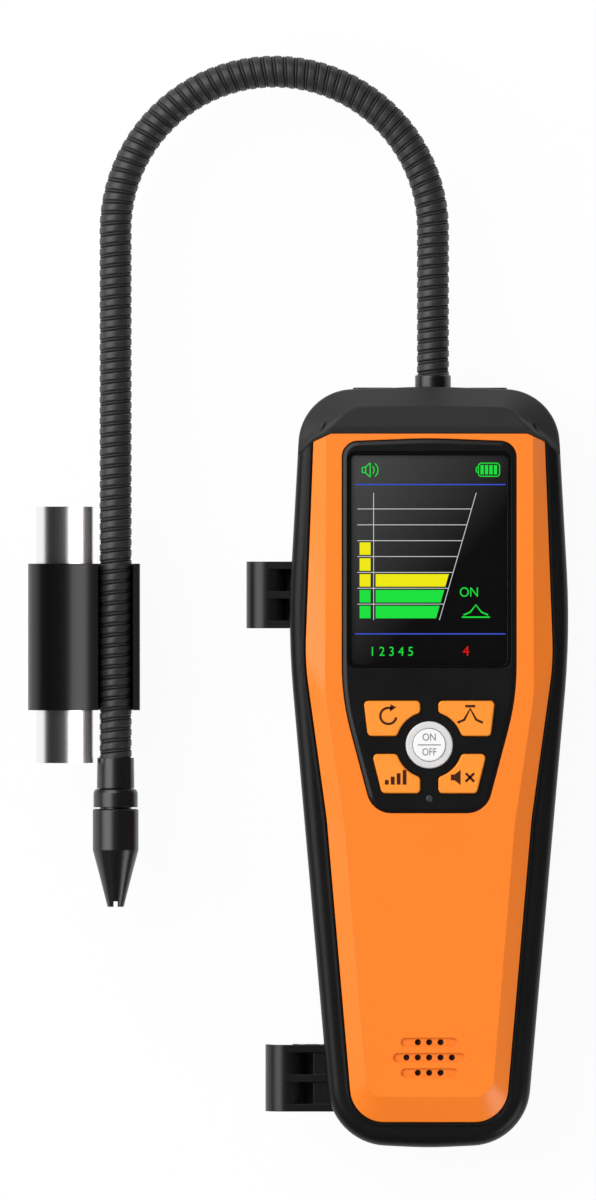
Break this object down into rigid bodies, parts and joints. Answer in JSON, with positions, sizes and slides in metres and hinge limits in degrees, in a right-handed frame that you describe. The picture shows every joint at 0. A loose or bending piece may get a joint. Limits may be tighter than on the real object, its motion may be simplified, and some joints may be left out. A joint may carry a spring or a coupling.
{
  "type": "gas detector",
  "caption": "Hand-held gas detector with an orange front in a black frame, colour display, keys and a looped gooseneck with a probe, lying on its back.",
  "frame": {"origin": "middle of the flat back of the case", "axes": "+X to the right of the display, +Y towards the gooseneck end, +Z out of the display"},
  "size_m": [0.1278, 0.2584, 0.0353],
  "materials": {
    "case_black": "fine texture",
    "frame_black": "satin",
    "cap_black": "satin",
    "front_orange": "satin",
    "bezel_black": "gloss",
    "window_clear": "polished",
    "screen": "lit display",
    "ring_grey": "translucent",
    "light_pipe": "clear grey",
    "board_green": "solder mask",
    "switch_metal": "stamped",
    "speaker_black": "plain",
    "screw_steel": "zinc",
    "battery_wrap": "shrink wrap",
    "motor_steel": "plated",
    "pump_black": "moulded",
    "cell_aluminium": "turned",
    "cell_end_steel": "plated",
    "hose_silicone": "translucent",
    "socket_steel": "plated",
    "pad_rubber": "matt",
    "vent_black": "matt",
    "collar_black": "satin",
    "gooseneck_black": "ribbed, satin",
    "probe_black": "satin",
    "filter_white": "porous",
    "clip_black": "satin",
    "tube_polished": "mirror polish",
    "stow_black": "satin",
    "power_white": "satin",
    "key_orange": "satin"
  },
  "bodies": {
    "housing": {"rear_shell": "case_black", "bumper_frame": "frame_black", "top_cap": "cap_black", "front_shell": "front_orange", "display_bezel": "bezel_black", "display_window": "window_clear", "lcd_panel": "screen", "power_ring": "ring_grey", "status_light": "light_pipe", "main_board": "board_green", "key_switches": "switch_metal", "speaker": "speaker_black", "case_screws": "screw_steel", "board_screws": "screw_steel", "battery_pack": "battery_wrap", "pump_motor": "motor_steel", "air_pump": "pump_black", "ir_cell": "cell_aluminium", "ir_lamp": "cell_end_steel", "ir_detector": "cell_end_steel", "sample_hose": "hose_silicone", "cell_hose": "hose_silicone", "exhaust_hose": "hose_silicone", "charge_socket": "socket_steel", "port_cover": "pad_rubber", "vent_cover": "vent_black", "gooseneck_collar": "collar_black", "stow_clip_upper": "stow_black", "stow_clip_lower": "stow_black"},
    "gooseneck_lower": {"gooseneck_lower": "gooseneck_black"},
    "gooseneck_upper": {"gooseneck_upper": "gooseneck_black", "probe_sleeve": "probe_black", "probe_ring": "probe_black", "probe_filter": "filter_white"},
    "probe_nozzle": {"probe_nozzle": "probe_black"},
    "pipe_clip": {"pipe_clip": "clip_black", "clip_tube": "tube_polished"},
    "key_upper_left": {"key_upper_left": "key_orange"},
    "key_upper_right": {"key_upper_right": "key_orange"},
    "key_lower_left": {"key_lower_left": "key_orange"},
    "key_lower_right": {"key_lower_right": "key_orange"},
    "power_key": {"power_key": "power_white"}
  },
  "joints": [
    {"name": "gooseneck_base_bend", "type": "hinge", "parent": "housing", "child": "gooseneck_lower", "pos_m": [0.001, 0.0948, 0.018], "axis": [0, 0, 1], "range_deg": [-25, 8]},
    {"name": "gooseneck_crown_bend", "type": "hinge", "parent": "gooseneck_lower", "child": "gooseneck_upper", "pos_m": [-0.0366, 0.1647, 0.018], "axis": [0, 0, 1], "range_deg": [-28, 5]},
    {"name": "nozzle_turn", "type": "hinge", "parent": "gooseneck_upper", "child": "probe_nozzle", "pos_m": [-0.0742, -0.02, 0.018], "axis": [0, 1, 0], "continuous": true},
    {"name": "pipe_clip_slide", "type": "slide", "parent": "gooseneck_upper", "child": "pipe_clip", "axis": [0, 1, 0], "range_m": [-0.0105, 0.075]},
    {"name": "key_upper_left_press", "type": "slide", "parent": "housing", "child": "key_upper_left", "axis": [0, 0, -1], "range_m": [0, 0.0006], "stiffness_N_per_m": 1200},
    {"name": "key_upper_right_press", "type": "slide", "parent": "housing", "child": "key_upper_right", "axis": [0, 0, -1], "range_m": [0, 0.0006], "stiffness_N_per_m": 1200},
    {"name": "key_lower_left_press", "type": "slide", "parent": "housing", "child": "key_lower_left", "axis": [0, 0, -1], "range_m": [0, 0.0006], "stiffness_N_per_m": 1200},
    {"name": "key_lower_right_press", "type": "slide", "parent": "housing", "child": "key_lower_right", "axis": [0, 0, -1], "range_m": [0, 0.0006], "stiffness_N_per_m": 1200},
    {"name": "power_key_press", "type": "slide", "parent": "housing", "child": "power_key", "axis": [0, 0, -1], "range_m": [0, 0.0006], "stiffness_N_per_m": 1200}
  ]
}
